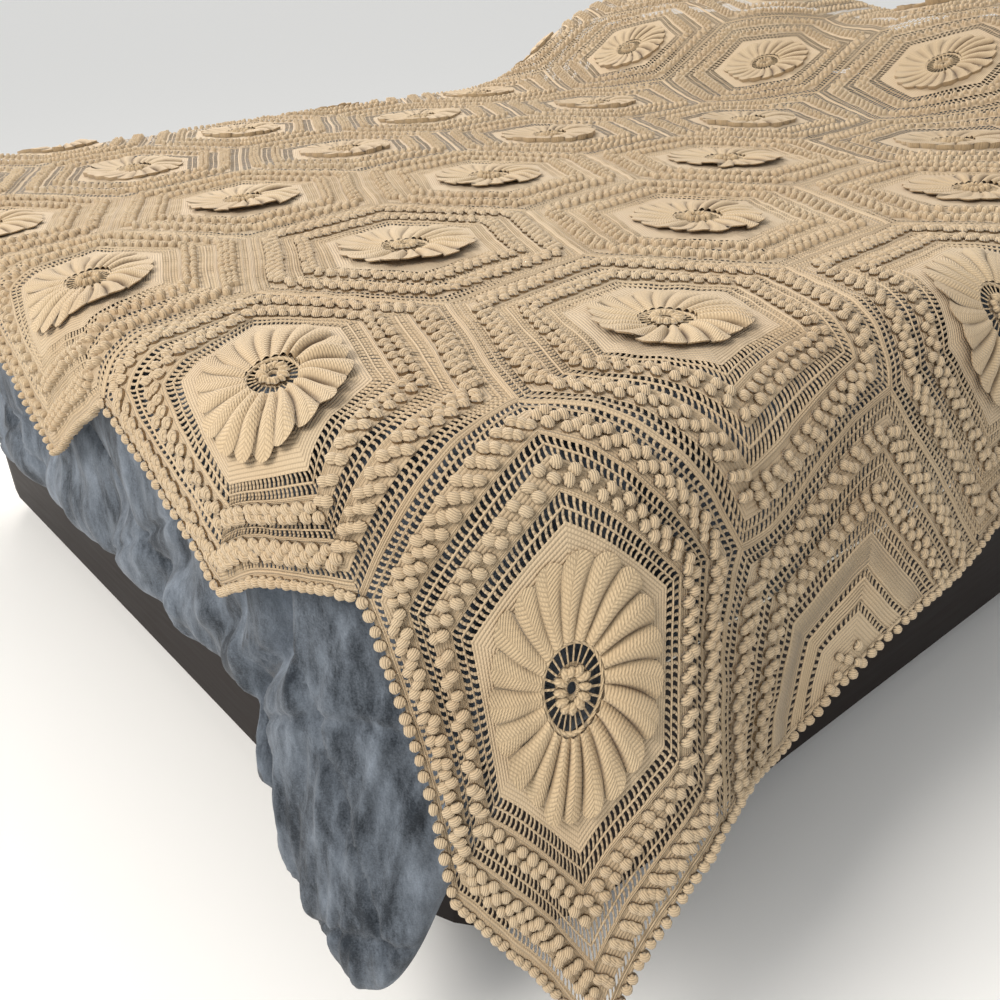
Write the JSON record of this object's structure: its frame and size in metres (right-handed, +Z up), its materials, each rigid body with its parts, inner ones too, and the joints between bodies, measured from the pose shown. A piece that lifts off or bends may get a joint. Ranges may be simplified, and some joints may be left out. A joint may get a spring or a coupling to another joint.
{
  "type": "crochet bedspread on a bed",
  "caption": "Cream crochet bedspread joined from hexagonal flower motifs, draped over a made-up bed with a plush comforter, pillows, mattress and dark platform base.",
  "frame": {"origin": "on the floor, under the middle of the whole object's box", "axes": "+Z up, +Y along the bed from its foot to its head, +X towards the bed's near long side"},
  "size_m": [1.8628, 2.1323, 0.7604],
  "materials": {
    "cotton_crochet": "matt crocheted cotton",
    "comforter_plush": "brushed plush pile",
    "pillow_cotton": "plain matt cotton",
    "mattress_ticking": "plain matt ticking",
    "base_wood": "dark stain, satin"
  },
  "bodies": {
    "root": {"bedspread": "cotton_crochet", "comforter": "comforter_plush", "pillow_far": "pillow_cotton", "pillow_near": "pillow_cotton", "mattress": "mattress_ticking", "bed_base": "base_wood"}
  },
  "joints": []
}
